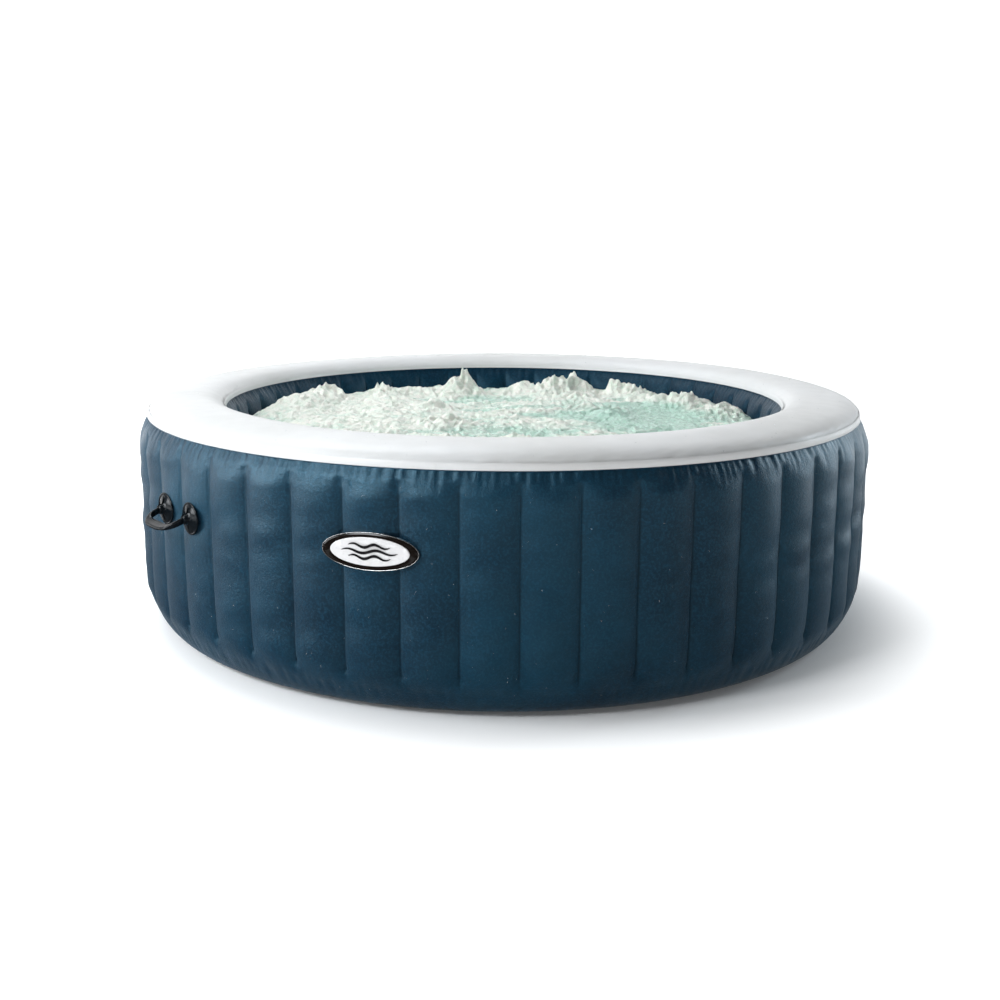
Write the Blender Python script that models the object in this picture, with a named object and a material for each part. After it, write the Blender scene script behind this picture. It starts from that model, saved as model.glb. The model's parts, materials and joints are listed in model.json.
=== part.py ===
"""Inflatable hot tub: puffed double wall on internal webs, top ring, floor, handles, ports, valves.

Metres, +Z up. The origin is the centre of the base on the ground, and the badge faces -Y.
A fitting on the wall is built in a frame of its own: -Y points out of the tub, +X runs along
the wall and +Z is up. An angle round the tub is counted from -Y towards +X.
"""
import math

import bmesh
import bpy

# Driving dimensions of the tub.
OUTER_R = 1.080
HEIGHT = 0.650
CHANNELS = 48
FIRST_SEAM = math.radians(2.1)
PITCH = 2 * math.pi / CHANNELS
SHEET = 0.0020
GAP = 0.0005

# Outer wall: the crown is the outermost line of a channel, the seam is the valley beside it.
OUTER_PUFF = 0.014
OUTER_SEAM_R = OUTER_R - OUTER_PUFF
RIM_R = 1.052
RIM_Z = 0.600
BASE_R = 0.945

# Inner wall, top ring and floor.
INNER_CROWN_R = 0.800
INNER_PUFF = 0.015
INNER_RIM_R = 0.834
INNER_RIM_Z = 0.608
RING_TOP_R = 0.893
FLOOR_R = 0.812
WELD_HEIGHT = 0.018

# Carrying handles: two discs on the crowns either side of a seam, with a hinged grip between.
HANDLE_SEAMS = (-7, 17)
HANDLE_Z = 0.410
DISC_R = 0.042
DISC_SPREAD = OUTER_R * math.sin(PITCH / 2)
DISC_PLANE = OUTER_R * math.cos(PITCH / 2) + GAP
PIN_DEPTH = 0.0165
PIN_R = 0.0035
GRIP_REACH = 0.046
GRIP_DROOP = math.radians(20)

# Badge on a crown.
BADGE_CROWN = -2.46
BADGE_Z = 0.408
BADGE_HALF_WIDTH = 0.116
BADGE_HALF_HEIGHT = 0.042

# Through-wall ports at the back: name, crown, height, bore radius.
PORTS = (
    ("water_outlet", 22.5, 0.300, 0.022),
    ("water_inlet", 24.5, 0.300, 0.022),
    ("air_inlet", 26.5, 0.400, 0.022),
    ("drain", 19.5, 0.170, 0.014),
)
WALL_SPAN = OUTER_R - INNER_CROWN_R
VALVE_CROWN = 29.5
VALVE_Z = 0.400


def clear_scene():
    for item in list(bpy.data.objects):
        bpy.data.objects.remove(item, do_unlink=True)


def material(name, colour, roughness, metallic=0.0):
    made = bpy.data.materials.new(name)
    made.use_nodes = True
    shader = made.node_tree.nodes["Principled BSDF"]
    shader.inputs["Base Color"].default_value = (*colour, 1.0)
    shader.inputs["Roughness"].default_value = roughness
    shader.inputs["Metallic"].default_value = metallic
    return made


def add_object(name, bm, finish, parent=None, location=(0, 0, 0), rotation=(0, 0, 0)):
    bmesh.ops.recalc_face_normals(bm, faces=bm.faces)
    if bm.calc_volume(signed=True) < 0:
        bmesh.ops.reverse_faces(bm, faces=bm.faces)
    mesh = bpy.data.meshes.new(name)
    bm.to_mesh(mesh)
    bm.free()
    mesh.shade_smooth()
    mesh.set_sharp_from_angle(angle=math.radians(35))
    mesh.materials.append(finish)
    made = bpy.data.objects.new(name, mesh)
    bpy.context.scene.collection.objects.link(made)
    made.parent = parent
    made.location = location
    made.rotation_euler = rotation
    return made


def add_cutter(name, bm, parent):
    made = add_object(name, bm, bpy.data.materials.new(name), parent)
    made.hide_render = True
    made.display_type = "WIRE"
    return made


def cut(target, cutter):
    step = target.modifiers.new(cutter.name, "BOOLEAN")
    step.operation = "DIFFERENCE"
    step.object = cutter


def wall_frame(name, channel, distance, height):
    """An empty on the wall, where channel counts pitches from the first seam."""
    angle = FIRST_SEAM + channel * PITCH
    frame = bpy.data.objects.new(name, None)
    bpy.context.scene.collection.objects.link(frame)
    frame.location = (distance * math.sin(angle), -distance * math.cos(angle), height)
    frame.rotation_euler = (0, 0, angle)
    return frame


def closed_sweep(bm, sections):
    """Joins loops of vertices, each loop to the next and the last to the first.

    A sheet's two skins run opposite ways along its section, so the second half of a section is
    split along the other diagonal. The skins of a twisted sheet then stay parallel.
    """
    count = len(sections[0])
    for here, after in zip(sections, sections[1:] + sections[:1]):
        for i in range(count):
            j = (i + 1) % count
            if i < count / 2:
                bm.faces.new((here[i], here[j], after[j]))
                bm.faces.new((here[i], after[j], after[i]))
            else:
                bm.faces.new((here[i], here[j], after[i]))
                bm.faces.new((here[j], after[j], after[i]))


def around_tub(stations):
    """One closed ring from (angle, [(radius, height), ...]) stations that go round the tub."""
    bm = bmesh.new()
    sections = [
        [bm.verts.new((r * math.sin(angle), -r * math.cos(angle), z)) for r, z in section]
        for angle, section in stations
    ]
    closed_sweep(bm, sections)
    return bm


def band(line, thickness):
    """The closed section of a sheet whose outer face follows line, thickened to the line's left."""
    inner = []
    for i, (r, z) in enumerate(line):
        before = line[max(i - 1, 0)]
        after = line[min(i + 1, len(line) - 1)]
        along = math.hypot(after[0] - before[0], after[1] - before[1])
        across = ((after[1] - before[1]) / along, (before[0] - after[0]) / along)
        inner.append((r - across[0] * thickness, z - across[1] * thickness))
    return line + inner[::-1]


def seam_and_crown_stations(section_at):
    """Stations at each seam (puff 0) and each crown (puff 1)."""
    stations = []
    for k in range(2 * CHANNELS):
        stations.append((FIRST_SEAM + k * PITCH / 2, section_at(k % 2)))
    return stations


def plain_stations(section):
    return [(FIRST_SEAM + k * PITCH, section) for k in range(CHANNELS)]


def turned(profile, sides=20, hollow=False):
    """Turns (radius, depth) points about the wall frame's -Y. Depth is counted out of the tub.

    A hollow profile is a closed loop; any other starts and ends on the axis.
    """
    bm = bmesh.new()
    rings = profile if hollow else profile[1:-1]
    sections = []
    for k in range(sides):
        turn = 2 * math.pi * k / sides
        sections.append(
            [bm.verts.new((r * math.cos(turn), -d, r * math.sin(turn))) for r, d in rings]
        )
    if hollow:
        closed_sweep(bm, sections)
        return bm
    first = bm.verts.new((0, -profile[0][1], 0))
    last = bm.verts.new((0, -profile[-1][1], 0))
    for here, after in zip(sections, sections[1:] + sections[:1]):
        bm.faces.new((first, here[0], after[0]))
        bm.faces.new((last, after[-1], here[-1]))
        for i in range(len(here) - 1):
            bm.faces.new((here[i], here[i + 1], after[i + 1], after[i]))
    return bm


def box(bm, low, high):
    corners = bmesh.ops.create_cube(bm, size=1.0)["verts"]
    for corner in corners:
        corner.co = [low[i] if corner.co[i] < 0 else high[i] for i in range(3)]


def rod_along_x(bm, x_low, x_high, y, radius, sides=16):
    """A round bar along X, centred on z = 0 and the given y."""
    ends = []
    for x in (x_low, x_high):
        turns = [2 * math.pi * k / sides for k in range(sides)]
        ends.append(
            [bm.verts.new((x, y + radius * math.cos(t), radius * math.sin(t))) for t in turns]
        )
    for i in range(sides):
        j = (i + 1) % sides
        bm.faces.new((ends[0][i], ends[0][j], ends[1][j], ends[1][i]))
    bm.faces.new(ends[0])
    bm.faces.new(ends[1])


def outer_wall_section(puff):
    wall_r = OUTER_SEAM_R + puff * OUTER_PUFF
    line = [
        (BASE_R, 0.0),
        (1.020, 0.014),
        (1.056 + 0.3 * puff * OUTER_PUFF, 0.070),
        (wall_r, 0.145),
        (wall_r, 0.535),
        (RIM_R, RIM_Z - GAP),
    ]
    return band(line, SHEET)


def inner_wall_section(puff):
    wall_r = INNER_CROWN_R + (1 - puff) * INNER_PUFF
    line = [
        (INNER_RIM_R, INNER_RIM_Z - SHEET),
        (wall_r, 0.535),
        (wall_r, 0.065),
        (0.826, 0.004),
    ]
    return band(line, SHEET)


def top_ring_line():
    return [
        (RIM_R, RIM_Z),
        (1.047, 0.620),
        (1.010, 0.642),
        (RING_TOP_R, HEIGHT),
        (0.848, 0.635),
        (INNER_RIM_R, INNER_RIM_Z),
    ]


def disc_section(radius, low, high):
    """A round sheet with a small hole at its centre, which the ring sweep needs."""
    return [(radius, low), (radius, high), (0.004, high), (0.004, low)]


def web_stations(half=0.0008, slope=0.0004):
    """A radial web at each seam, and a thin belt that ties the webs together."""
    belt = (0.939, 0.941)
    tips = (INNER_CROWN_R + INNER_PUFF + SHEET + 0.001, OUTER_SEAM_R - SHEET - 0.001)
    stations = []
    for k in range(CHANNELS):
        seam = FIRST_SEAM + k * PITCH
        for offset, (inner, outer) in (
            (-half - slope, belt),
            (-half, tips),
            (half, tips),
            (half + slope, belt),
        ):
            section = [(inner, 0.150), (outer, 0.150), (outer, 0.510), (inner, 0.510)]
            stations.append((seam + offset, section))
    return stations


def add_shells(wall, white, liner):
    outer = add_object("outer_wall", around_tub(seam_and_crown_stations(outer_wall_section)), wall)
    inner = add_object("inner_wall", around_tub(seam_and_crown_stations(inner_wall_section)), liner)
    add_object("top_ring", around_tub(plain_stations(band(top_ring_line(), SHEET))), white)
    outer_weld = [(RIM_R + GAP, RIM_Z + GAP), (1.0475 + GAP, RIM_Z + WELD_HEIGHT)]
    inner_weld = [(0.8412 - GAP, INNER_RIM_Z + 0.014), (INNER_RIM_R - GAP, INNER_RIM_Z)]
    add_object("outer_weld_band", around_tub(plain_stations(weld_section(outer_weld, 1))), white)
    add_object("inner_weld_band", around_tub(plain_stations(weld_section(inner_weld, -1))), white)
    add_object("base_sheet", around_tub(plain_stations(disc_section(BASE_R - 0.001, 0.0, 0.003))), wall)
    add_object("floor_liner", around_tub(plain_stations(disc_section(FLOOR_R, 0.0060, 0.0085))), liner)
    webs = add_object("tension_webs", around_tub(web_stations()), liner)
    return outer, inner, webs


def weld_section(line, side):
    """A strip 1.2 mm thick laid outside (side 1) or inside (side -1) of a short line."""
    lifted = [(r + side * 0.0012, z) for r, z in line]
    return line + lifted[::-1]


def add_bubble_ring(plastic):
    """The perforated air channel that lies on the floor along the inner wall."""
    section = [(0.785, 0.0092), (0.782, 0.0240), (0.770, 0.0320), (0.757, 0.0240), (0.754, 0.0092)]
    add_object("bubble_ring", around_tub(plain_stations(section)), plastic)


def grip_line(step, steps=18):
    """A point of the grip's U in plan, the side that faces out of the U, and how near its middle it is."""
    turn = math.pi * step / steps
    power = 0.62
    across = -math.copysign(abs(math.cos(turn)) ** power, math.cos(turn)) * DISC_SPREAD
    out = abs(math.sin(turn)) ** power * GRIP_REACH
    side = (-math.cos(turn), -math.sin(turn))
    return (across, -0.004 - out), side, math.sin(turn) ** 2


def add_grip(name, frame, rubber):
    """A flat bar across the middle, 28 mm wide, on two upright arms that hinge on the pins."""
    bm = bmesh.new()
    first = ((-DISC_SPREAD, 0.009), (-1, 0), 0.0)
    last = ((DISC_SPREAD, 0.009), (1, 0), 0.0)
    sections = []
    for (x, y), (side_x, side_y), middle in [first] + [grip_line(k) for k in range(19)] + [last]:
        width = 0.0030 + 0.0110 * middle
        height = 0.0080 - 0.0050 * middle
        ax, ay = x + side_x * width, y + side_y * width
        bx, by = x - side_x * width, y - side_y * width
        loop = [(ax, ay, -height), (ax, ay, height), (bx, by, height), (bx, by, -height)]
        sections.append([bm.verts.new(corner) for corner in loop])
    for here, after in zip(sections, sections[1:]):
        for i in range(4):
            j = (i + 1) % 4
            bm.faces.new((here[i], here[j], after[j], after[i]))
    bm.faces.new(sections[0])
    bm.faces.new(sections[-1])
    hinge = (0, -PIN_DEPTH, 0)
    grip = add_object(f"{name}_grip", bm, rubber, frame, hinge, (GRIP_DROOP, 0, 0))
    hole = bmesh.new()
    rod_along_x(hole, -0.1, 0.1, 0.0, PIN_R + 0.0003)
    cut(grip, add_cutter(f"{name}_grip_hole", hole, grip))


def add_handle(name, seam, rubber, plastic):
    frame = wall_frame(f"{name}_frame", seam, DISC_PLANE, HANDLE_Z)
    bell = [
        (0, 0.0),
        (DISC_R, 0.0),
        (DISC_R, 0.0030),
        (0.030, 0.0060),
        (0.015, 0.0100),
        (0.013, 0.0220),
        (0, 0.0235),
    ]
    for side, x in (("left", -DISC_SPREAD), ("right", DISC_SPREAD)):
        disc = add_object(f"{name}_disc_{side}", turned(bell), rubber, frame, (x, 0, 0))
        slot = bmesh.new()
        box(slot, (-0.0040, -0.030, -0.045), (0.0040, -0.0042, 0.045))
        cut(disc, add_cutter(f"{name}_slot_{side}", slot, disc))
        hole = bmesh.new()
        rod_along_x(hole, -0.05, 0.05, -PIN_DEPTH, PIN_R + 0.0003)
        cut(disc, add_cutter(f"{name}_hole_{side}", hole, disc))
        pin = bmesh.new()
        rod_along_x(pin, -0.0100, 0.0100, -PIN_DEPTH, PIN_R)
        add_object(f"{name}_pin_{side}", pin, plastic, frame, (x, 0, 0))
    add_grip(name, frame, rubber)


def oval(half_width, half_height, low, high, hole=None, sides=32):
    """A flat oval, or an oval ring if hole gives its inner half width and half height."""
    bm = bmesh.new()
    sections = []
    for k in range(sides):
        turn = 2 * math.pi * k / sides
        x, z = math.cos(turn), math.sin(turn)
        inner = hole or (0.0006, 0.0006)
        loop = [
            (half_width * x, -low, half_height * z),
            (half_width * x, -high, half_height * z),
            (inner[0] * x, -high, inner[1] * z),
            (inner[0] * x, -low, inner[1] * z),
        ]
        sections.append([bm.verts.new(point) for point in loop])
    closed_sweep(bm, sections)
    return bm


def add_badge(black, silver, white):
    frame = wall_frame("badge_frame", BADGE_CROWN, OUTER_R + GAP, BADGE_Z)
    face = (BADGE_HALF_WIDTH - 0.020, BADGE_HALF_HEIGHT - 0.009)
    edge = (BADGE_HALF_WIDTH + 0.003, BADGE_HALF_HEIGHT + 0.003)
    plate = oval(BADGE_HALF_WIDTH, BADGE_HALF_HEIGHT, 0.0, 0.0030)
    add_object("badge_plate", plate, black, frame)
    trim_hole = (BADGE_HALF_WIDTH + GAP, BADGE_HALF_HEIGHT + GAP)
    add_object("badge_trim", oval(*edge, 0.0, 0.0034, trim_hole), silver, frame)
    add_object("badge_face", oval(*face, 0.0034, 0.0050), white, frame)


def screen_slots(radius):
    """Four upright slots through the middle of a strainer disc."""
    bm = bmesh.new()
    width = radius / 6
    for k in range(4):
        x = (k - 1.5) * 2 * width
        height = 0.85 * math.sqrt(radius**2 - x**2)
        box(bm, (x - width / 2, -0.1, -height), (x + width / 2, 1.0, height))
    return bm


def add_port(name, crown, height, bore, walls, plastic, rubber):
    """A sleeve through both walls, its gasket and nut inside, a strainer or stopper and a cap."""
    frame = wall_frame(f"{name}_frame", crown, OUTER_R, height)
    barrel = bore + 0.004
    inside = -WALL_SPAN
    sleeve = [
        (bore, inside - 0.0140),
        (barrel, inside - 0.0140),
        (barrel, GAP),
        (barrel + 0.012, GAP),
        (barrel + 0.012, 0.0055),
        (barrel + 0.007, 0.0055),
        (barrel + 0.007, 0.0045),
        (barrel, 0.0045),
        (barrel, 0.0220),
        (bore, 0.0220),
    ]
    add_object(f"{name}_sleeve", turned(sleeve, 20, True), plastic, frame)
    clearance = barrel + GAP
    hole = turned([(0, inside - 0.02), (clearance, inside - 0.02), (clearance, 0.02), (0, 0.02)])
    cutter = add_cutter(f"{name}_hole", hole, frame)
    for wall in walls:
        cut(wall, cutter)
    near, far = inside - GAP, inside - 0.0030
    gasket = [(barrel + GAP, near), (barrel + 0.011, near), (barrel + 0.011, far), (barrel + GAP, far)]
    add_object(f"{name}_gasket", turned(gasket, 20, True), rubber, frame)
    near, far = inside - 0.0035, inside - 0.0110
    nut = [(barrel + GAP, near), (barrel + 0.012, near), (barrel + 0.012, far), (barrel + GAP, far)]
    add_object(f"{name}_lock_nut", turned(nut, 20, True), plastic, frame)
    lip = barrel + GAP
    cap = [
        (0, 0.0280),
        (lip + 0.003, 0.0280),
        (lip + 0.005, 0.0260),
        (lip + 0.005, 0.0050),
        (lip, 0.0050),
        (lip, 0.0225),
        (0, 0.0225),
    ]
    add_object(f"{name}_cap", turned(cap), plastic, frame)
    if name == "drain":
        front = inside - 0.0145
        stopper = [(0, front - 0.004), (barrel, front - 0.004), (barrel, front)]
        stopper += [(bore - GAP, front), (bore - 0.0015, front + 0.020), (0, front + 0.020)]
        add_object("drain_stopper", turned(stopper), rubber, frame)
        return
    front = inside - 0.0145
    grid = [(0, front - 0.003), (barrel + 0.010, front - 0.003), (barrel + 0.010, front), (0, front)]
    screen = add_object(f"{name}_screen", turned(grid), plastic, frame)
    cut(screen, add_cutter(f"{name}_screen_slots", screen_slots(barrel + 0.010), frame))


def add_inflation_valve(wall, plastic, rubber, steel):
    """A push-open valve: the spring holds the stem's seal against the body until it is pressed."""
    frame = wall_frame("inflation_valve_frame", VALVE_CROWN, OUTER_R, VALVE_Z)
    hole = turned([(0, -0.06), (0.0155, -0.06), (0.0155, 0.02), (0, 0.02)])
    cut(wall, add_cutter("inflation_valve_hole", hole, frame))
    body = [
        (0.0045, -0.0330),
        (0.0150, -0.0330),
        (0.0150, GAP),
        (0.0240, GAP),
        (0.0240, 0.0040),
        (0.0110, 0.0040),
        (0.0110, -0.0300),
        (0.0045, -0.0300),
    ]
    add_object("inflation_valve_body", turned(body, 20, True), plastic, frame)
    stem = [
        (0, -0.0050),
        (0.0090, -0.0050),
        (0.0090, -0.0080),
        (0.0030, -0.0080),
        (0.0030, -0.0335),
        (0.0090, -0.0335),
        (0.0090, -0.0365),
        (0, -0.0365),
    ]
    add_object("inflation_valve_stem", turned(stem, 16), rubber, frame)
    add_object("inflation_valve_spring", valve_spring(), steel, frame)
    lid = [(0, 0.0090), (0.0180, 0.0090), (0.0190, 0.0080), (0.0190, 0.0050), (0, 0.0050)]
    add_object("inflation_valve_cap", turned(lid), plastic, frame)


def valve_spring(turns=5, radius=0.0065, wire=0.0006, low=-0.0290, high=-0.0090):
    bm = bmesh.new()
    per_turn = 10
    sides = 5
    sections = []
    for k in range(turns * per_turn + 1):
        turn = 2 * math.pi * k / per_turn
        depth = low + (high - low) * k / (turns * per_turn)
        loop = []
        for i in range(sides):
            a = 2 * math.pi * i / sides
            r = radius + wire * math.cos(a)
            loop.append((r * math.cos(turn), -(depth + wire * math.sin(a)), r * math.sin(turn)))
        sections.append([bm.verts.new(point) for point in loop])
    for here, after in zip(sections, sections[1:]):
        for i in range(sides):
            j = (i + 1) % sides
            bm.faces.new((here[i], here[j], after[j], after[i]))
    bm.faces.new(sections[0])
    bm.faces.new(sections[-1])
    return bm


def main():
    clear_scene()
    wall = material("navy_laminate", (0.030, 0.070, 0.130), 0.45)
    white = material("white_vinyl", (0.85, 0.84, 0.82), 0.40)
    liner = material("navy_liner", (0.035, 0.080, 0.140), 0.50)
    rubber = material("black_rubber", (0.012, 0.012, 0.013), 0.35)
    plastic = material("grey_plastic", (0.18, 0.19, 0.20), 0.45)
    black = material("badge_black", (0.02, 0.018, 0.016), 0.25)
    silver = material("badge_silver", (0.75, 0.74, 0.72), 0.25, 1.0)
    badge_white = material("badge_white", (0.86, 0.85, 0.83), 0.30)
    steel = material("spring_steel", (0.60, 0.61, 0.62), 0.30, 1.0)
    outer, inner, webs = add_shells(wall, white, liner)
    add_bubble_ring(liner)
    for number, seam in enumerate(HANDLE_SEAMS, 1):
        add_handle(f"handle_{number}", seam, rubber, plastic)
    add_badge(black, silver, badge_white)
    for name, crown, height, bore in PORTS:
        add_port(name, crown, height, bore, (outer, inner, webs), plastic, rubber)
    add_inflation_valve(outer, plastic, rubber, steel)


main()
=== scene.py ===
"""The looks of the inflatable hot tub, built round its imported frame. Metres, +Z up, badge towards -Y.

Angles round the tub are counted from -Y towards +X, as seen from above.
"""
import json
import math

import bmesh
import bpy
import numpy as np
from mathutils import Matrix, Vector


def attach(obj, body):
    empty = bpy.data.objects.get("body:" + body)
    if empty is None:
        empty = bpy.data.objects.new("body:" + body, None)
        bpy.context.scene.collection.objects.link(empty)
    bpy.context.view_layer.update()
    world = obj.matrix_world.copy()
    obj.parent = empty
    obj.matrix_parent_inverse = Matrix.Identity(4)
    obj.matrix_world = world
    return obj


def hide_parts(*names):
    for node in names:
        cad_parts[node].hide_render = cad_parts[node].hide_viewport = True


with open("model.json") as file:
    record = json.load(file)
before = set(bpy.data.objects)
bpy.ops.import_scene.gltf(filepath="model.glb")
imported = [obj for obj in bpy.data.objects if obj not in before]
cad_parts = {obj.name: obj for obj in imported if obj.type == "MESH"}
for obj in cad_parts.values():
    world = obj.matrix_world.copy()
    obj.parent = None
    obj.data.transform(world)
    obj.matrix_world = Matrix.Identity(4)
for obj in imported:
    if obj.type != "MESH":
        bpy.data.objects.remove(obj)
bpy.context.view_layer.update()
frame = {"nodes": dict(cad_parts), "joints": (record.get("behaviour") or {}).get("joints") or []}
NODES = frame["nodes"]
JOINTS = {joint["name"]: joint for joint in frame["joints"]}

CHANNELS = 48
PITCH = 2 * math.pi / CHANNELS
FIRST_SEAM = math.radians(2.1)
INNER_FIRST_SEAM = math.radians(-0.3)
OUTER_R = 1.080
OUTER_PUFF = 0.015
INNER_PUFF = 0.016
RIM_R, RIM_Z = 1.052, 0.600
INNER_RIM_R, INNER_RIM_Z = 0.834, 0.608
OUTER_CHANNEL_ENDS = (0.108, 0.566)
INNER_CHANNEL_ENDS = (0.080, 0.578)
WATER_LEVEL = 0.536
WATER_R = 0.806
DISC_SPREAD = OUTER_R * math.sin(PITCH / 2)
PIN_DEPTH = 0.0165
GRIP_REACH = 0.046
GRIP_DROOP = math.radians(20)
BADGE_ANGLE = FIRST_SEAM - 2.46 * PITCH
BADGE_Z = 0.408
BADGE_HALF_WIDTH, BADGE_HALF_HEIGHT = 0.116, 0.042
BADGE_SIDES = 160
DARK_FLOOR_R = 3.2
BACKDROP_Y = 6.5
RANDOM = np.random.default_rng(7)


# ---------------------------------------------------------------- meshes

def mesh_object(name, points, faces, smooth=True):
    mesh = bpy.data.meshes.new(name)
    mesh.from_pydata([tuple(p) for p in points], [], faces)
    mesh.validate()
    if smooth:
        mesh.shade_smooth()
    made = bpy.data.objects.new(name, mesh)
    bpy.context.scene.collection.objects.link(made)
    return made


def grid_faces(rows, columns, wrap):
    """Quads of a grid of points stored row by row. With wrap, the last column meets the first."""
    faces = []
    for i in range(rows - 1):
        for j in range(columns if wrap else columns - 1):
            k = (j + 1) % columns
            faces.append((i * columns + j, i * columns + k, (i + 1) * columns + k, (i + 1) * columns + j))
    return faces


def smooth_line(points, count):
    """count points of a Catmull-Rom curve through the points, evenly spaced along it."""
    known = np.array(points, float)
    ends = np.vstack([2 * known[0] - known[1], known, 2 * known[-1] - known[-2]])
    fine = []
    for i in range(len(known) - 1):
        a, b, c, d = ends[i : i + 4]
        for t in np.linspace(0, 1, 40, endpoint=i == len(known) - 2):
            fine.append(0.5 * (2 * b + (c - a) * t + (2 * a - 5 * b + 4 * c - d) * t**2
                               + (3 * b - a - 3 * c + d) * t**3))
    fine = np.array(fine)
    steps = np.concatenate([[0], np.cumsum(np.linalg.norm(np.diff(fine, axis=0), axis=1))])
    even = np.linspace(0, steps[-1], count)
    return np.column_stack([np.interp(even, steps, fine[:, k]) for k in range(fine.shape[1])])


def ramp(value, low, high):
    """Eases from 0 at low to 1 at high."""
    t = np.clip((value - low) / (high - low), 0, 1)
    return t * t * (3 - 2 * t)


def turn_about(delta):
    """The angle brought into -pi to pi."""
    return (delta + math.pi) % (2 * math.pi) - math.pi


def gathers(theta, depth, per_channel, size, reach, width):
    """Small folds that start at a seam line and die out with depth, the distance from it."""
    total = np.zeros(np.broadcast(theta, depth).shape)
    for k in range(CHANNELS):
        spots = (np.arange(per_channel) + RANDOM.uniform(0.15, 0.85, per_channel)) / per_channel
        for spot in spots:
            delta = turn_about(theta - (FIRST_SEAM + (k + spot) * PITCH))
            near = np.abs(delta[0]) < 4 * width
            amount = size * RANDOM.uniform(0.35, 1.0)
            length = reach * RANDOM.uniform(0.45, 1.0)
            lean = RANDOM.uniform(-0.25, 0.25) * width / length
            fold = np.exp(-(((delta[:, near] - lean * depth) / width) ** 2))
            total[:, near] -= amount * fold * np.exp(-((depth / length) ** 2))
    return total


def lazy_noise(theta, z, scale, seed, terms=14):
    """Soft unevenness that repeats round the tub: a few waves added up, about -1 to 1."""
    draw = np.random.default_rng(seed)
    total = np.zeros(np.broadcast(theta, z).shape)
    for _ in range(terms):
        around = round(draw.uniform(0.3, 1.0) / scale)
        up = draw.uniform(-1.0, 1.0) / scale
        total = total + np.sin(around * theta + up * z + draw.uniform(0, 2 * math.pi))
    return total / math.sqrt(terms)


def add_number(piece, name, values):
    """Stores a number at each vertex for a material to read."""
    layer = piece.data.attributes.new(name, "FLOAT", "POINT")
    layer.data.foreach_set("value", np.ascontiguousarray(values, np.float32).ravel())


def wall(name, line, first_seam, puff, side, per_channel_columns, channel_ends, top_z):
    """A channelled wall. line runs up the wall at the seams; side 1 puffs outwards and -1 inwards."""
    low_end, high_end = channel_ends
    columns = CHANNELS * per_channel_columns
    theta = first_seam + np.arange(columns) * PITCH / per_channel_columns
    theta = theta[None, :]
    along = (theta - first_seam) / PITCH % 1.0
    radius, z = line[:, :1], line[:, 1:2]
    arc = (4 * along * (1 - along)) ** 0.85
    strength = ramp(z, low_end - 0.045, low_end + 0.02) * (1 - ramp(z, high_end - 0.035, high_end + 0.012))
    uneven = 1 + 0.10 * lazy_noise(theta, z * 6, 0.06, 3)
    bulge = puff * strength * arc * uneven
    # Between the channels' ends and the weld the sheet is one smooth swollen band.
    band = puff * (1 - strength) * 0.45 * ramp(z, 0.03, 0.10) * (1 - ramp(z, top_z - 0.030, top_z))
    seam_gap = np.minimum(along, 1 - along) * PITCH * np.abs(radius)
    pinch = np.zeros_like(bulge)
    for end in (low_end, high_end):
        pinch -= 0.0045 * np.exp(-((seam_gap / 0.010) ** 2) - ((z - end) / 0.011) ** 2)
    weld = -0.0012 * np.exp(-((seam_gap / 0.0025) ** 2)) * strength
    folds = gathers(theta, top_z - z, 7, 0.0046, 0.042, PITCH / 23)
    folds += gathers(theta, np.abs(z - low_end * 0.55), 5, 0.0026, 0.030, PITCH / 19)
    folds *= ramp(z, 0.004, 0.03)
    wander = 0.0010 * lazy_noise(theta, z * 4, 0.10, 11)
    r = radius + side * (bulge + band + pinch + weld + folds + wander * ramp(z, 0.01, 0.08))
    x, y = r * np.sin(theta), -r * np.cos(theta)
    points = np.stack([x, y, np.broadcast_to(z, x.shape)], -1).reshape(-1, 3)
    piece = mesh_object(name, points, grid_faces(len(line), columns, True))
    if side < 0:
        piece.data.flip_normals()
    add_number(piece, "seam_gap", np.broadcast_to(seam_gap, x.shape))
    add_number(piece, "seam_strength", np.broadcast_to(strength, x.shape))
    return piece


def lathe_ring(name, line, columns, lift=None):
    """A (radius, z) line turned about Z. lift gives how far each point stands off it."""
    theta = np.arange(columns)[None, :] * 2 * math.pi / columns
    radius, z = line[:, :1] + 0 * theta, line[:, 1:2] + 0 * theta
    if lift is not None:
        normal = np.gradient(line, axis=0)
        normal = np.column_stack([normal[:, 1], -normal[:, 0]])
        normal /= np.linalg.norm(normal, axis=1)[:, None]
        amount = lift(theta, np.linspace(0, 1, len(line))[:, None])
        radius = radius + normal[:, :1] * amount
        z = z + normal[:, 1:2] * amount
    points = np.stack([radius * np.sin(theta), -radius * np.cos(theta), z], -1).reshape(-1, 3)
    return mesh_object(name, points, grid_faces(len(line), columns, True))


# ---------------------------------------------------------------- materials

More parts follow.
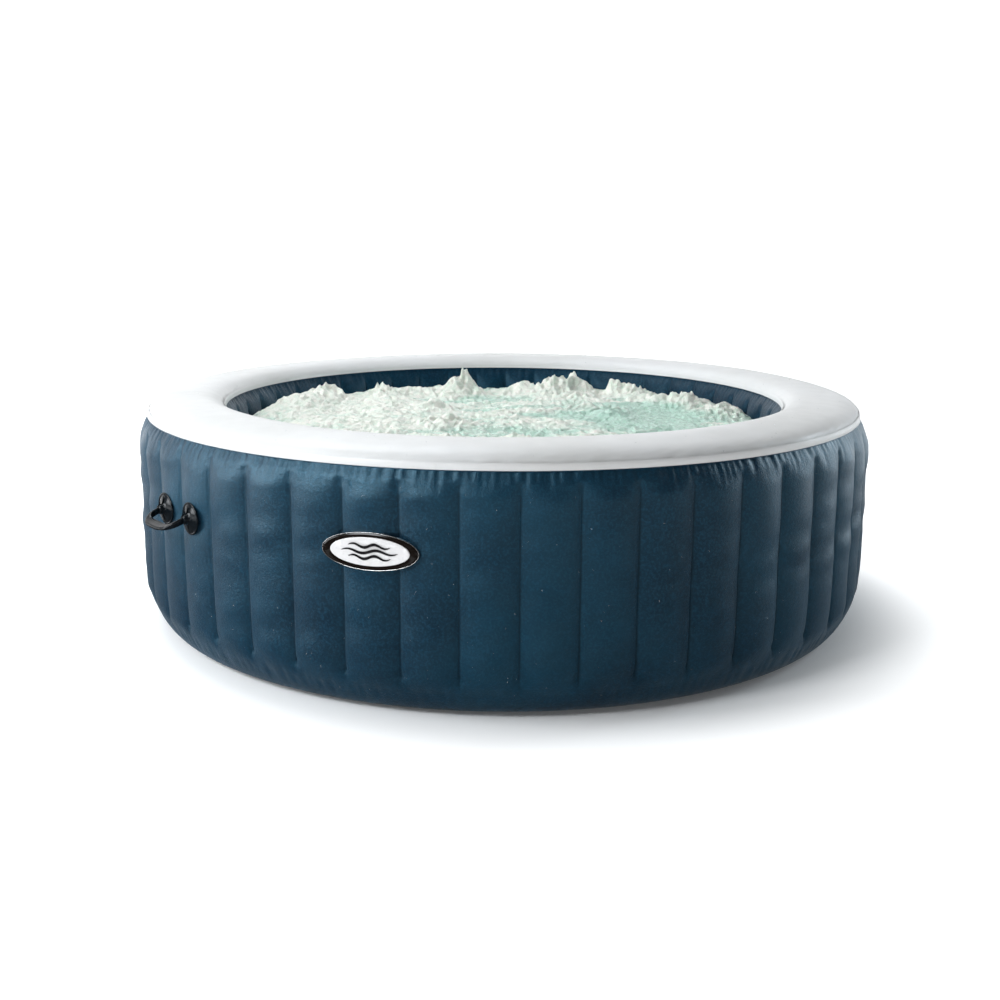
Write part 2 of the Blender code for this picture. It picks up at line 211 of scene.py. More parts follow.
class Finish:
    """A Principled material with short calls for its nodes."""

    def __init__(self, name, colour, roughness, metallic=0.0):
        self.made = bpy.data.materials.new(name)
        self.made.use_nodes = True
        self.nodes = self.made.node_tree.nodes
        self.links = self.made.node_tree.links
        self.shader = self.nodes["Principled BSDF"]
        self.place = self.nodes.new("ShaderNodeTexCoord").outputs["Object"]
        self.set("Base Color", (*colour, 1.0))
        self.set("Roughness", roughness)
        self.set("Metallic", metallic)
        self.last_bump = None

    def set(self, socket, value):
        self.shader.inputs[socket].default_value = value

    def link(self, output, socket):
        self.links.new(output, self.shader.inputs[socket])

    def stretched(self, scale):
        mapping = self.nodes.new("ShaderNodeMapping")
        mapping.inputs["Scale"].default_value = scale
        self.links.new(self.place, mapping.inputs["Vector"])
        return mapping.outputs["Vector"]

    def noise(self, scale, detail=3.0, vector=None, roughness=0.5):
        node = self.nodes.new("ShaderNodeTexNoise")
        node.inputs["Scale"].default_value = scale
        node.inputs["Detail"].default_value = detail
        node.inputs["Roughness"].default_value = roughness
        self.links.new(vector or self.place, node.inputs["Vector"])
        return node.outputs["Fac"]

    def cells(self, scale):
        node = self.nodes.new("ShaderNodeTexVoronoi")
        node.inputs["Scale"].default_value = scale
        self.links.new(self.place, node.inputs["Vector"])
        return node.outputs["Distance"]

    def number(self, name):
        node = self.nodes.new("ShaderNodeAttribute")
        node.attribute_name = name
        return node.outputs["Fac"]

    def span(self, value, low, high, to_low, to_high):
        node = self.nodes.new("ShaderNodeMapRange")
        node.interpolation_type = "SMOOTHSTEP"
        for socket, number in zip(("From Min", "From Max", "To Min", "To Max"), (low, high, to_low, to_high)):
            node.inputs[socket].default_value = number
        self.links.new(value, node.inputs["Value"])
        return node.outputs["Result"]

    def math(self, kind, a, b):
        node = self.nodes.new("ShaderNodeMath")
        node.operation = kind
        for socket, value in zip(node.inputs, (a, b)):
            if isinstance(value, (int, float)):
                socket.default_value = value
            else:
                self.links.new(value, socket)
        return node.outputs["Value"]

    def mix(self, amount, first, second):
        """A colour between two; each is a colour or the output of another mix."""
        node = self.nodes.new("ShaderNodeMix")
        node.data_type = "RGBA"
        self.links.new(amount, node.inputs["Factor"])
        for socket, colour in ((node.inputs[6], first), (node.inputs[7], second)):
            if isinstance(colour, tuple):
                socket.default_value = (*colour, 1.0)
            else:
                self.links.new(colour, socket)
        return node.outputs[2]

    def bump(self, height, distance, strength=1.0):
        node = self.nodes.new("ShaderNodeBump")
        node.inputs["Distance"].default_value = distance
        node.inputs["Strength"].default_value = strength
        self.links.new(height, node.inputs["Height"])
        if self.last_bump is not None:
            self.links.new(self.last_bump, node.inputs["Normal"])
        self.last_bump = node.outputs["Normal"]
        self.link(self.last_bump, "Normal")


def laminate(name, dark, light, shine):
    """Navy vinyl laminated to a woven scrim: a fine glittering grain, soft dull and glossy patches, and
    painted shade darkening the creases along the seams.
    """
    made = Finish(name, dark, 0.42)
    patches = made.noise(3.2, 4.0)
    grain = made.noise(165.0, 4.0, roughness=0.75)
    tone = made.mix(made.span(patches, 0.3, 0.7, 0.0, 1.0), dark, light)
    speck = made.span(grain, 0.44, 0.66, 0.0, 0.55)
    flake = (0.004, 0.014, 0.022)
    tone = made.mix(speck, tone, tuple(1.6 * c + f for c, f in zip(light, flake)))
    # Painted shade: the colour is darkened along the seams, in the creases between the puffed channels, most
    # where the channels puff most.
    seam_shade = made.span(made.number("seam_gap"), 0.0, 0.0035, 0.75, 0.0)
    seam_shade = made.math("MULTIPLY", seam_shade, made.number("seam_strength"))
    tone = made.mix(seam_shade, tone, tuple(0.45 * c for c in dark))
    made.link(tone, "Base Color")
    made.link(made.span(made.noise(14.0, 5.0), 0.3, 0.7, 0.28, 0.42), "Roughness")
    made.set("Specular IOR Level", shine)
    made.set("Specular Tint", (0.42, 0.78, 1.0, 1.0))
    made.set("Sheen Weight", 0.20)
    made.set("Sheen Roughness", 0.40)
    made.set("Sheen Tint", (0.55, 0.72, 0.88, 1.0))
    made.bump(made.noise(16.0, 4.0), 0.0012, 0.5)
    made.bump(made.cells(520.0), 0.0004, 0.7)
    made.bump(grain, 0.0014, 0.8)
    return made.made


def white_vinyl():
    """White vinyl with faint scuffs and a soft, uneven gloss."""
    made = Finish("white_vinyl_skin", (0.75, 0.75, 0.75), 0.40)
    clouds = made.span(made.noise(2.4, 4.0), 0.35, 0.7, 0.0, 1.0)
    tone = made.mix(clouds, (0.72, 0.72, 0.72), (0.66, 0.66, 0.65))
    scuffs = made.span(made.noise(60.0, 6.0, made.stretched((1, 1, 0.4))), 0.62, 0.80, 0.0, 0.25)
    tone = made.mix(scuffs, tone, (0.58, 0.58, 0.57))
    made.link(tone, "Base Color")
    made.link(made.span(made.noise(22.0, 5.0), 0.3, 0.7, 0.34, 0.48), "Roughness")
    made.set("Subsurface Weight", 0.04)
    made.set("Subsurface Radius", (0.01, 0.008, 0.007))
    made.bump(made.noise(9.0, 3.0), 0.0016, 0.45)
    made.bump(made.noise(420.0, 3.0), 0.00012, 0.5)
    return made.made


def moulded(name, colour, roughness, metallic=0.0, shine=0.5):
    """Moulded rubber or plastic: fine grain, slightly paler where it is rubbed."""
    made = Finish(name, colour, roughness, metallic)
    rubbed = made.span(made.noise(35.0, 5.0), 0.55, 0.75, 0.0, 0.35)
    made.link(made.mix(rubbed, colour, tuple(min(1.0, 1.6 * c + 0.01) for c in colour)), "Base Color")
    made.link(made.span(made.noise(50.0, 4.0), 0.3, 0.7, 0.8 * roughness, 1.25 * roughness), "Roughness")
    made.set("Specular IOR Level", shine)
    made.bump(made.noise(600.0, 2.0), 0.00012, 0.5)
    return made.made


def foam_finish():
    """White foam with pores, and wet green water where the surface is low."""
    made = Finish("bubbling_water_skin", (0.80, 0.88, 0.82), 0.30)
    height = made.number("foam")
    blotch = made.noise(5.0, 5.0, made.stretched((0.7, 2.2, 1.0)), 0.62)
    wet = made.span(made.math("ADD", made.math("MULTIPLY", height, 0.55), blotch), 0.55, 0.86, 1.0, 0.0)
    suds = made.span(made.noise(38.0, 6.0), 0.35, 0.70, 0.0, 1.0)
    froth = made.mix(suds, (0.88, 0.88, 0.80), (0.72, 0.79, 0.70))
    tone = made.mix(made.math("MULTIPLY", wet, 0.85), froth, (0.42, 0.67, 0.56))
    pores = made.span(made.cells(230.0), 0.0, 0.55, 0.30, 0.0)
    made.link(made.mix(pores, tone, (0.47, 0.55, 0.48)), "Base Color")
    made.link(made.span(wet, 0.0, 1.0, 0.42, 0.12), "Roughness")
    made.set("Subsurface Weight", 0.25)
    made.set("Subsurface Radius", (0.010, 0.014, 0.012))
    made.bump(made.noise(90.0, 6.0), 0.009, 0.9)
    made.bump(made.cells(260.0), 0.0016, 0.8)
    return made.made


def droplet_finish():
    """Clear water, a little bluish."""
    made = Finish("droplet_skin", (0.85, 0.90, 0.93), 0.05)
    made.link(made.mix(made.noise(300.0), (0.80, 0.87, 0.92), (0.95, 0.97, 0.98)), "Base Color")
    made.set("Transmission Weight", 0.85)
    made.set("IOR", 1.33)
    return made.made


def dress(piece, finish, body="tub", replaces=()):
    """Gives a piece its material and, if it isn't a CAD node, the body that it rides on."""
    piece.data.materials.clear()
    piece.data.materials.append(finish)
    if piece.name not in NODES:
        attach(piece, body)
    if replaces:
        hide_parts(*replaces)
    return piece


# ---------------------------------------------------------------- the tub

def outer_line():
    """The outer wall at a seam, from the floor up to the outer weld."""
    seam_r = OUTER_R - OUTER_PUFF
    return smooth_line([
        (0.945, 0.0012),
        (1.000, 0.006),
        (1.034, 0.026),
        (1.054, 0.068),
        (seam_r - 0.001, 0.145),
        (seam_r, 0.260),
        (seam_r, 0.420),
        (seam_r, 0.520),
        (1.062, 0.562),
        (1.057, 0.586),
        (RIM_R, RIM_Z),
    ], 128)


def inner_line():
    """The inner wall at a seam, from the floor liner up to the inner weld."""
    return smooth_line([
        (0.822, 0.012),
        (0.817, 0.090),
        (0.816, 0.300),
        (0.816, 0.500),
        (0.821, 0.565),
        (0.828, 0.592),
        (INNER_RIM_R, INNER_RIM_Z),
    ], 84)


def ring_line():
    """The white ring, from the outer weld over the top to the inner weld."""
    return smooth_line([
        (RIM_R + 0.0005, RIM_Z),
        (1.0485, 0.614),
        (1.036, 0.630),
        (1.006, 0.642),
        (0.955, 0.6485),
        (0.900, 0.6495),
        (0.866, 0.643),
        (0.845, 0.629),
        (0.8365, 0.616),
        (INNER_RIM_R, INNER_RIM_Z),
    ], 56)


def ring_lift(theta, along):
    """Faint gathers that run in from both welds, and a slow unevenness."""
    gather = 0.0011 * lazy_noise(theta, along, 0.009, 21, 10)
    edges = np.exp(-((along / 0.13) ** 2)) + np.exp(-(((1 - along) / 0.10) ** 2))
    slow = 0.0012 * lazy_noise(theta, along * 2, 0.15, 23)
    fade = ramp(along, 0.0, 0.05) * (1 - ramp(along, 0.95, 1.0))
    return (gather * edges + slow) * fade


def bead(name, radius, height, size, columns=720):
    """A thin round welt that runs round the tub."""
    turns = np.linspace(0, 2 * math.pi, 11)
    line = np.column_stack([radius + size * np.cos(turns), height + size * np.sin(turns)])
    return lathe_ring(name, line, columns)


def add_shell(navy, liner, white):
    outer = wall("outer_wall_skin", outer_line(), FIRST_SEAM, OUTER_PUFF, 1, 26, OUTER_CHANNEL_ENDS, RIM_Z)
    dress(outer, navy, replaces=("outer_wall",))
    inner = wall("inner_wall_skin", inner_line(), INNER_FIRST_SEAM, INNER_PUFF, -1, 18,
                 INNER_CHANNEL_ENDS, INNER_RIM_Z)
    dress(inner, liner, replaces=("inner_wall",))
    ring = lathe_ring("top_ring_skin", ring_line(), 1152, ring_lift)
    dress(ring, white, replaces=("top_ring", "outer_weld_band", "inner_weld_band"))
    strip = np.array([
        (1.0538, 0.6005),
        (1.0544, 0.6010),
        (1.0512, 0.6170),
        (1.0502, 0.6180),
        (1.0488, 0.6175),
    ])
    dress(lathe_ring("outer_weld_strip", strip, 576), white)
    strip = np.array([(0.8372, 0.6240), (0.8352, 0.6228), (0.8338, 0.6150), (0.8322, 0.6085)])
    dress(lathe_ring("inner_weld_strip", strip, 576), white)
    dress(bead("outer_rim_welt", 1.0525, 0.5995, 0.0016), navy)
    dress(bead("inner_rim_welt", 0.8325, 0.6075, 0.0014), liner)
    dress(NODES["base_sheet"], navy)
    for name in ("floor_liner", "tension_webs", "bubble_ring"):
        dress(NODES[name], liner)


# ---------------------------------------------------------------- water

def peaks():
    """Splashes: (x, y, height, width)."""
    spots = [
        (-0.135, 0.600, 0.068, 0.052),
        (-0.190, 0.560, 0.036, 0.060),
        (0.055, 0.610, 0.034, 0.050),
        (0.180, 0.600, 0.052, 0.075),
        (0.260, 0.600, 0.038, 0.055),
        (0.385, 0.560, 0.052, 0.035),
        (0.440, 0.530, 0.038, 0.050),
        (-0.420, 0.500, 0.050, 0.060),
        (-0.590, 0.380, 0.046, 0.070),
        (-0.660, 0.230, 0.034, 0.080),
        (0.600, 0.330, 0.046, 0.060),
        (0.690, 0.180, 0.034, 0.080),
        (0.500, 0.470, 0.026, 0.070),
        (-0.310, 0.560, 0.030, 0.055),
    ]
    for _ in range(26):
        r, turn = 0.70 * math.sqrt(RANDOM.uniform(0, 1)), RANDOM.uniform(0, 2 * math.pi)
        size = (RANDOM.uniform(0.008, 0.026), RANDOM.uniform(0.03, 0.08))
        spots.append((r * math.cos(turn), r * math.sin(turn), *size))
    return spots


def value_noise(x, y, cell, seed):
    """Smooth noise on a square lattice, 0 to 1."""
    lattice = np.random.default_rng(seed).uniform(0, 1, (257, 257))
    u, v = x / cell + 120.5, y / cell + 120.5
    i, j = np.floor(u).astype(int) % 256, np.floor(v).astype(int) % 256
    s, t = u - np.floor(u), v - np.floor(v)
    s, t = s * s * (3 - 2 * s), t * t * (3 - 2 * t)
    low = lattice[i, j] * (1 - s) + lattice[i + 1, j] * s
    high = lattice[i, j + 1] * (1 - s) + lattice[i + 1, j + 1] * s
    return low * (1 - t) + high * t


def froth(x, y):
    """Height of the boiling surface above the water level, and its share of foam."""
    warp_x = x + 0.030 * (value_noise(x, y, 0.07, 31) - 0.5)
    warp_y = y + 0.030 * (value_noise(x, y, 0.07, 32) - 0.5)
    broad = value_noise(warp_x, warp_y, 0.150, 33)
    lumps = 1 - np.abs(2 * value_noise(warp_x, warp_y, 0.060, 34) - 1)
    curds = 1 - np.abs(2 * value_noise(warp_x, warp_y, 0.026, 35) - 1)
    grit = value_noise(warp_x, warp_y, 0.0115, 36)
    height = 0.016 * broad + 0.012 * lumps * broad + 0.008 * curds + 0.0070 * grit
    height = height + 0.020 * np.exp(-(((x + 0.60) / 0.28) ** 2) - ((y - 0.25) / 0.30) ** 2)
    for px, py, tall, wide in peaks():
        push = np.exp(-(((warp_x - px) ** 2 + (warp_y - py) ** 2) / wide**2))
        ragged = 0.55 + 0.45 * curds + 0.30 * (grit - 0.5)
        height = height + tall * push * ragged
    calm = np.exp(-(((x - 0.42) / 0.22) ** 2) - ((y - 0.12) / 0.22) ** 2)
    height = height * (1 - 0.55 * calm)
    return height, np.clip(height / 0.045 - 0.75 * calm, -0.6, 1)


def add_water(finish):
    """The bubbling water, a raised disc that meets the inner wall all round."""
    step = 0.0052
    rings = int(WATER_R / step)
    columns = 900
    theta = np.arange(columns) * 2 * math.pi / columns
    radius = np.linspace(0.004, WATER_R, rings)[:, None]
    x, y = radius * np.sin(theta), -radius * np.cos(theta)
    height, foam = froth(x, y)
    z = WATER_LEVEL - 0.012 + height * (1 - 0.55 * ramp(radius, 0.77, WATER_R))
    points = np.stack([x, y, z], -1).reshape(-1, 3)
    faces = grid_faces(rings, columns, True)
    faces.append(tuple(range(columns)))
    piece = mesh_object("bubbling_water", points, faces)
    piece.data.flip_normals()
    add_number(piece, "foam", np.broadcast_to(foam, x.shape))
    dress(piece, finish)


# ---------------------------------------------------------------- handles

def wall_matrix(point, axis):
    """A frame whose +X runs along axis and -Y points out of the tub."""
    across = Vector(axis).normalized()
    up = Vector((0, 0, 1))
    inward = up.cross(across)
    turned = Matrix((across, inward, up)).transposed().to_4x4()
    return Matrix.Translation(Vector(point)) @ turned


def grip_points(count):
    """Centre, outward side and nearness to the middle of the grip's U, evenly spaced."""
    turns = np.linspace(0, math.pi, 400)
    x = -np.sign(np.cos(turns)) * np.abs(np.cos(turns)) ** 0.62 * DISC_SPREAD
    y = -0.004 - np.sin(turns) ** 0.62 * GRIP_REACH
    x = np.concatenate([[-DISC_SPREAD], x, [DISC_SPREAD]])
    y = np.concatenate([[0.008], y, [0.008]])
    turns = np.concatenate([[0], turns, [math.pi]])
    length = np.concatenate([[0], np.cumsum(np.hypot(np.diff(x), np.diff(y)))])
    even = np.linspace(0, length[-1], count)
    return [np.interp(even, length, values) for values in (x, y, turns)]


def grip_mesh(name):
    """A flat ribbed bar on two upright arms, with softly rounded edges."""
    xs, ys, turns = grip_points(96)
    around = 44
    points = []
    for x, y, turn in zip(xs, ys, turns):
        middle = math.sin(turn) ** 2
        width, height = 0.0032 + 0.0112 * middle, 0.0082 - 0.0050 * middle
        side = Vector((-math.cos(turn), -math.sin(turn), 0))
        dip = -0.004 * middle
        for k in range(around):
            a = 2 * math.pi * k / around
            c, s = math.cos(a), math.sin(a)
            across = math.copysign(abs(c) ** 0.55, c) * width
            rise = math.copysign(abs(s) ** 0.75, s) * height
            ribs = 0.0011 * middle * math.cos(across / 0.0011) * max(0.0, s) * ramp(middle, 0.5, 0.8)
            spot = Vector((x, y, 0)) + side * across
            points.append((spot.x, spot.y, rise + ribs + dip))
    faces = grid_faces(len(xs), around, True)
    faces.append(tuple(range(around - 1, -1, -1)))
    faces.append(tuple(range((len(xs) - 1) * around, len(xs) * around)))
    return mesh_object(name, points, faces)


def turned_piece(name, rings, sides):
    """A solid of revolution about -Y, from (radius, depth) rings, with flat ends."""
    points = []
    for r, d in rings:
        for k in range(sides):
            a = 2 * math.pi * k / sides
            points.append((r * math.cos(a), -d, r * math.sin(a)))
    faces = grid_faces(len(rings), sides, True)
    faces.append(tuple(range(sides)))
    faces.append(tuple(range(len(rings) * sides - 1, (len(rings) - 1) * sides - 1, -1)))
    return mesh_object(name, points, faces)


def carve(piece, low, high):
    """Cuts a box out of a piece, both in the piece's own frame."""
    bm = bmesh.new()
    for corner in bmesh.ops.create_cube(bm, size=1.0)["verts"]:
        corner.co = [low[i] if corner.co[i] < 0 else high[i] for i in range(3)]
    mesh = bpy.data.meshes.new("carving_box")
    bm.to_mesh(mesh)
    bm.free()
    cutter = bpy.data.objects.new("carving_box", mesh)
    bpy.context.scene.collection.objects.link(cutter)
    step = piece.modifiers.new("slot", "BOOLEAN")
    step.operation = "DIFFERENCE"
    step.object = cutter
    bpy.context.view_layer.update()
    graph = bpy.context.evaluated_depsgraph_get()
    result = bpy.data.meshes.new_from_object(piece.evaluated_get(graph))
    piece.modifiers.clear()
    piece.data = result
    bpy.data.objects.remove(cutter, do_unlink=True)
    bpy.data.meshes.remove(mesh)


def orient(piece):
    """Turns a closed piece's faces outwards."""
    bm = bmesh.new()
    bm.from_mesh(piece.data)
    bmesh.ops.recalc_face_normals(bm, faces=bm.faces)
    bm.to_mesh(piece.data)
    bm.free()


def add_handles(rubber, plastic):
    bell = smooth_line([
        (0.0412, 0.0005),
        (0.0422, 0.0020),
        (0.0412, 0.0042),
        (0.0385, 0.0044),
        (0.0365, 0.0034),
        (0.0330, 0.0048),
        (0.0260, 0.0072),
        (0.0180, 0.0096),
        (0.0140, 0.0130),
        (0.0128, 0.0190),
        (0.0110, 0.0226),
        (0.0050, 0.0236),
    ], 40)
    for number in (1, 2):
        joint = JOINTS[f"handle_{number}_grip_hinge"]
        place = wall_matrix(joint["pos_m"], joint["axis"])
        for side, x in (("left", -DISC_SPREAD), ("right", DISC_SPREAD)):
            disc = turned_piece(f"handle_{number}_bell_{side}", bell, 72)
            orient(disc)
            carve(disc, (-0.0042, -0.030, -0.045), (0.0042, -0.0044, 0.045))
            disc.data.shade_smooth()
            disc.data.set_sharp_from_angle(angle=math.radians(40))
            disc.matrix_world = place @ Matrix.Translation((x, PIN_DEPTH, 0))
            dress(disc, rubber, replaces=(f"handle_{number}_disc_{side}",))
            dress(NODES[f"handle_{number}_pin_{side}"], plastic)
        grip = grip_mesh(f"handle_{number}_grip_skin")
        orient(grip)
        grip.matrix_world = place @ Matrix.Rotation(GRIP_DROOP, 4, "X")
        dress(grip, rubber, f"handle_{number}_grip_body", (f"handle_{number}_grip",))


# ---------------------------------------------------------------- badge

def badge_matrix():
    point = (OUTER_R * math.sin(BADGE_ANGLE), -OUTER_R * math.cos(BADGE_ANGLE), BADGE_Z)
    return wall_matrix(point, (math.cos(BADGE_ANGLE), math.sin(BADGE_ANGLE), 0))


def wrapped(x):
    """How far the badge falls back towards its ends, as the wall behind it does."""
    return 0.30 * x * x / OUTER_R


def bent_oval(name, line, sides=BADGE_SIDES):
    """An oval built from (half width, half height, depth) rings, wrapped a little round the wall."""
    points = []
    for half_width, half_height, depth in line:
        for k in range(sides):
            a = 2 * math.pi * k / sides
            x, z = half_width * math.cos(a), half_height * math.sin(a)
            points.append((x, -depth + wrapped(x), z))
    return mesh_object(name, points, grid_faces(len(line), sides, True))


def close_oval(piece, rings, sides=BADGE_SIDES):
    """Fills the last ring of an oval with one face."""
    bm = bmesh.new()
    bm.from_mesh(piece.data)
    bm.verts.ensure_lookup_table()
    bm.faces.new([bm.verts[(rings - 1) * sides + k] for k in range(sides)])
    bmesh.ops.recalc_face_normals(bm, faces=bm.faces)
    bm.to_mesh(piece.data)
    bm.free()
    piece.data.shade_smooth()
    piece.data.set_sharp_from_angle(angle=math.radians(30))


def wave_mark(name, width, height, depth, offset):
    """A plain wavy stroke, one of three that fill the badge's face."""
    steps = 60
    points = []
    for k in range(steps + 1):
        t = k / steps
        x = (t - 0.5) * width
        rise = offset + 0.0040 * math.sin(t * 4 * math.pi)
        half = height * max(0.0, math.sin(math.pi * t)) ** 0.5 + 1e-5
        base = wrapped(x)
        points += [(x, -depth + base, rise - half), (x, -depth + base, rise + half)]
        points += [(x, -depth - 0.0005 + base, rise + half), (x, -depth - 0.0005 + base, rise - half)]
    faces = grid_faces(steps + 1, 4, True)
    return mesh_object(name, points, faces, smooth=False)


def add_badge(black, silver, white, ink):
    w, h = BADGE_HALF_WIDTH, BADGE_HALF_HEIGHT
    place = badge_matrix()
    pieces = []
    trim_line = [(w + out, h + out, depth) for out, depth in (
        (0.0035, -0.004),
        (0.0035, 0.0026),
        (0.0030, 0.0033),
        (0.0018, 0.0032),
        (0.0012, 0.0022),
    )]
    trim = bent_oval("badge_bright_edge", trim_line)
    pieces.append((trim, silver, "badge_silver", ("badge_trim",)))
    plate_line = [
        (w + 0.0016, h + 0.0016, -0.004),
        (w + 0.0016, h + 0.0016, 0.0024),
        (w - 0.0020, h - 0.0020, 0.0042),
        (w - 0.0160, h - 0.0072, 0.0034),
        (w - 0.0190, h - 0.0085, 0.0024),
    ]
    plate = bent_oval("badge_dark_ring", plate_line)
    close_oval(plate, len(plate_line))
    pieces.append((plate, black, "badge_black", ("badge_plate",)))
    face_line = [
        (w - 0.0185, h - 0.0082, 0.0018),
        (w - 0.0185, h - 0.0082, 0.0036),
        (w - 0.0200, h - 0.0097, 0.0046),
    ]
    face = bent_oval("badge_white_face", face_line)
    close_oval(face, len(face_line))
    pieces.append((face, white, "badge_white", ("badge_face",)))
    for number, offset in enumerate((-0.0135, 0.0, 0.0135), 1):
        width = 0.140 if offset == 0 else 0.105
        mark = wave_mark(f"badge_wave_{number}", width, 0.0034, 0.0046, offset)
        orient(mark)
        pieces.append((mark, ink, "badge_black", ()))
    for piece, finish, slot, gone in pieces:
        orient(piece)
        piece.matrix_world = place @ Matrix.Translation((0, -0.001, 0))
        dress(piece, finish, replaces=gone)


# ---------------------------------------------------------------- droplets

def add_droplets(finish, count=1100):
    """Beads of water on the outside wall and the ring, pressed flat against the sheet."""
    skin = bpy.data.objects["outer_wall_skin"]
    mesh = skin.data
    total = len(mesh.vertices)
    spots = np.zeros(total * 3)
    mesh.vertices.foreach_get("co", spots)
    spots = spots.reshape(-1, 3)
    normals = np.array([v.normal for v in mesh.vertices])
    chosen = RANDOM.choice(np.flatnonzero((spots[:, 2] > 0.03) & (spots[:, 2] < 0.56)), count, replace=False)
    ring = bpy.data.objects["top_ring_skin"].data
    ring_spots = np.array([v.co for v in ring.vertices])
    ring_normals = np.array([v.normal for v in ring.vertices])
    ring_chosen = RANDOM.choice(len(ring_spots), count // 4, replace=False)
    places = np.vstack([spots[chosen], ring_spots[ring_chosen]])
    facing = np.vstack([normals[chosen], ring_normals[ring_chosen]])
    bm = bmesh.new()
    for place, normal in zip(places, facing):
        size = 0.0007 + 0.0013 * RANDOM.uniform(0, 1) ** 3
        normal = Vector(normal).normalized()
        turn = normal.to_track_quat("Z", "Y").to_matrix().to_4x4()
        squash = Matrix.Diagonal((size, size * RANDOM.uniform(1.0, 1.4), size * 0.6, 1))
        matrix = Matrix.Translation(place) @ turn @ squash
        bmesh.ops.create_icosphere(bm, subdivisions=1, radius=1.0, matrix=matrix)
    mesh = bpy.data.meshes.new("water_droplets")
    bm.to_mesh(mesh)
    bm.free()
    mesh.shade_smooth()
    piece = bpy.data.objects.new("water_droplets", mesh)
    bpy.context.scene.collection.objects.link(piece)
    dress(piece, finish)


# ---------------------------------------------------------------- hidden fittings

def dress_fittings(plastic, rubber, steel):
    """The CAD nodes of the ports, the drain and the inflation valve, which show as they are."""
    for name, node in NODES.items():
        if name.endswith(("_gasket", "_stopper", "_stem")):
            dress(node, rubber)
        elif name.endswith(("_sleeve", "_lock_nut", "_cap", "_screen", "valve_body")):
            dress(node, plastic)
        elif name.endswith("_spring"):
            dress(node, steel)


# ---------------------------------------------------------------- stage

def add_stage():
    """A pale floor and backdrop that glow evenly, with a painted contact shadow where the glow is dimmed near
    the tub. The floor near the tub is left out of its gloss.
    """
    finish = Finish("studio_floor", (0.93, 0.93, 0.93), 0.9)
    finish.link(finish.mix(finish.noise(0.8), (0.93, 0.93, 0.93), (0.92, 0.92, 0.92)), "Base Color")
    finish.set("Specular IOR Level", 0.0)
    finish.set("Emission Color", (1, 1, 1, 1))
    # Painted contact shadow: the floor's glow is dimmed within about 1.3 m of a point a little to the front
    # right of the tub's centre, and is nearly gone within 0.96 m.
    reach = finish.nodes.new("ShaderNodeVectorMath")
    reach.operation = "DISTANCE"
    finish.links.new(finish.place, reach.inputs[0])
    reach.inputs[1].default_value = (0.05, -0.04, 0.0)
    finish.link(finish.span(reach.outputs["Value"], 0.96, 1.30, 0.06, 0.66), "Emission Strength")
    bend = 3.0
    line = [(BACKDROP_Y, 0.0)]
    turns = np.linspace(0.1, math.pi / 2, 16)
    line += [(BACKDROP_Y + bend * math.sin(a), bend - bend * math.cos(a)) for a in turns]
    line.append((BACKDROP_Y + bend, 14.0))
    points = [(x, y, z) for y, z in line for x in (-20.0, 20.0)]
    near = lathe_ring("studio_floor", np.array([(0.001, 0.0), (1.6, 0.0), (DARK_FLOOR_R, 0.0)]), 96)
    near.visible_glossy = False
    far = lathe_ring("studio_floor_far", np.array([(DARK_FLOOR_R, 0.0), (8.0, 0.0), (14.0, 0.0)]), 96)
    backdrop = mesh_object("studio_backdrop", points, grid_faces(len(line), 2, False))
    backdrop.data.flip_normals()
    for piece in (near, far, backdrop):
        piece.data.materials.append(finish.made)
    add_horizon()


def add_horizon():
    """A white wall all round the studio. It is only seen, and lights nothing."""
    finish = Finish("studio_horizon", (0.0, 0.0, 0.0), 0.9)
    finish.link(finish.mix(finish.noise(0.5), (0.98, 0.98, 0.98), (1.0, 1.0, 1.0)), "Emission Color")
    finish.set("Emission Strength", 1.0)
    finish.set("Specular IOR Level", 0.0)
    wall_line = np.array([(13.5, -0.5), (13.5, 16.0), (13.5, 16.1)])
    horizon = lathe_ring("studio_horizon", wall_line, 96)
    horizon.data.materials.append(finish.made)
    horizon.visible_diffuse = horizon.visible_glossy = horizon.visible_transmission = False
    horizon.visible_shadow = False


def add_light(name, place, target, size, power, colour=(1, 1, 1)):
    lamp = bpy.data.lights.new(name, "AREA")
    lamp.shape = "RECTANGLE"
    lamp.size, lamp.size_y = size
    lamp.energy = power
    lamp.color = colour
    made = bpy.data.objects.new(name, lamp)
    bpy.context.scene.collection.objects.link(made)
    made.location = place
    made.rotation_euler = (Vector(target) - Vector(place)).to_track_quat("-Z", "Y").to_euler()


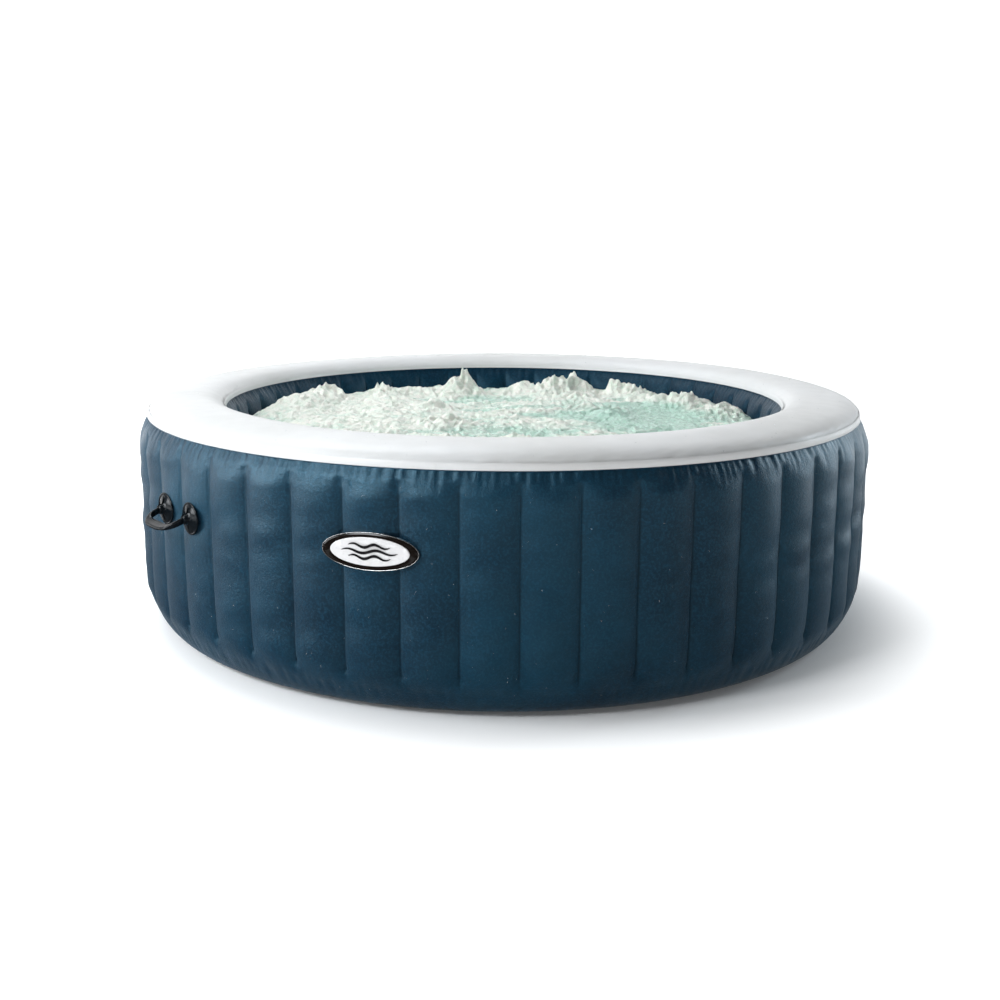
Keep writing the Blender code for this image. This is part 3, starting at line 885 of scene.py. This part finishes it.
def add_lights():
    cool = (0.93, 0.97, 1.0)
    add_light("left_softbox", (-4.4, -1.4, 2.0), (0, 0, 0.4), (2.0, 3.0), 146, cool)
    add_light("front_softbox", (-2.4, -3.0, 2.6), (0, 0, 0.5), (1.3, 0.9), 70, cool)
    add_light("right_strip", (4.2, 1.0, 1.6), (0, 0, 0.4), (0.9, 2.4), 56, (0.82, 0.93, 1.0))
    add_light("top_softbox", (-1.4, 1.6, 4.4), (0, 0, 0.4), (3.0, 3.0), 112, cool)
    world = bpy.data.worlds.new("studio_world")
    bpy.context.scene.world = world
    world.use_nodes = True
    world.node_tree.nodes["Background"].inputs["Color"].default_value = (1, 1, 1, 1)
    world.node_tree.nodes["Background"].inputs["Strength"].default_value = 0.11
    bpy.context.scene.view_settings.view_transform = "Standard"


def add_camera():
    aim = Vector((0, 0, 0.378))
    distance, elevation, roll = 3.857, math.radians(11.65), math.radians(0.36)
    lens = bpy.data.cameras.new("camera")
    lens.lens = 44.70
    lens.sensor_width = 36.0
    lens.shift_x = -0.0035
    lens.shift_y = -0.0266
    made = bpy.data.objects.new("camera", lens)
    bpy.context.scene.collection.objects.link(made)
    made.location = aim + distance * Vector((0, -math.cos(elevation), math.sin(elevation)))
    turn = (aim - made.location).to_track_quat("-Z", "Y").to_matrix().to_4x4()
    made.matrix_world = Matrix.Translation(made.location) @ turn @ Matrix.Rotation(roll, 4, "Z")
    bpy.context.scene.camera = made


def main():
    add_stage()
    add_lights()
    add_camera()
    navy = laminate("navy_laminate_skin", (0.0012, 0.011, 0.026), (0.0024, 0.027, 0.052), 0.75)
    liner = laminate("navy_liner_skin", (0.0010, 0.011, 0.026), (0.0022, 0.026, 0.050), 0.30)
    white = white_vinyl()
    rubber = moulded("black_rubber_skin", (0.003, 0.005, 0.007), 0.16, shine=0.26)
    plastic = moulded("grey_plastic_skin", (0.16, 0.17, 0.18), 0.42)
    add_shell(navy, liner, white)
    add_water(foam_finish())
    add_handles(rubber, plastic)
    add_badge(
        moulded("badge_black_skin", (0.006, 0.004, 0.003), 0.14, shine=0.22),
        moulded("badge_silver_skin", (0.46, 0.46, 0.46), 0.22, 1.0),
        moulded("badge_white_skin", (0.68, 0.67, 0.67), 0.30),
        moulded("badge_mark_skin", (0.006, 0.005, 0.006), 0.30, shine=0.25),
    )
    add_droplets(droplet_finish())
    steel = moulded("spring_steel_skin", (0.58, 0.59, 0.60), 0.28, 1.0)
    dress_fittings(plastic, rubber, steel)


main()
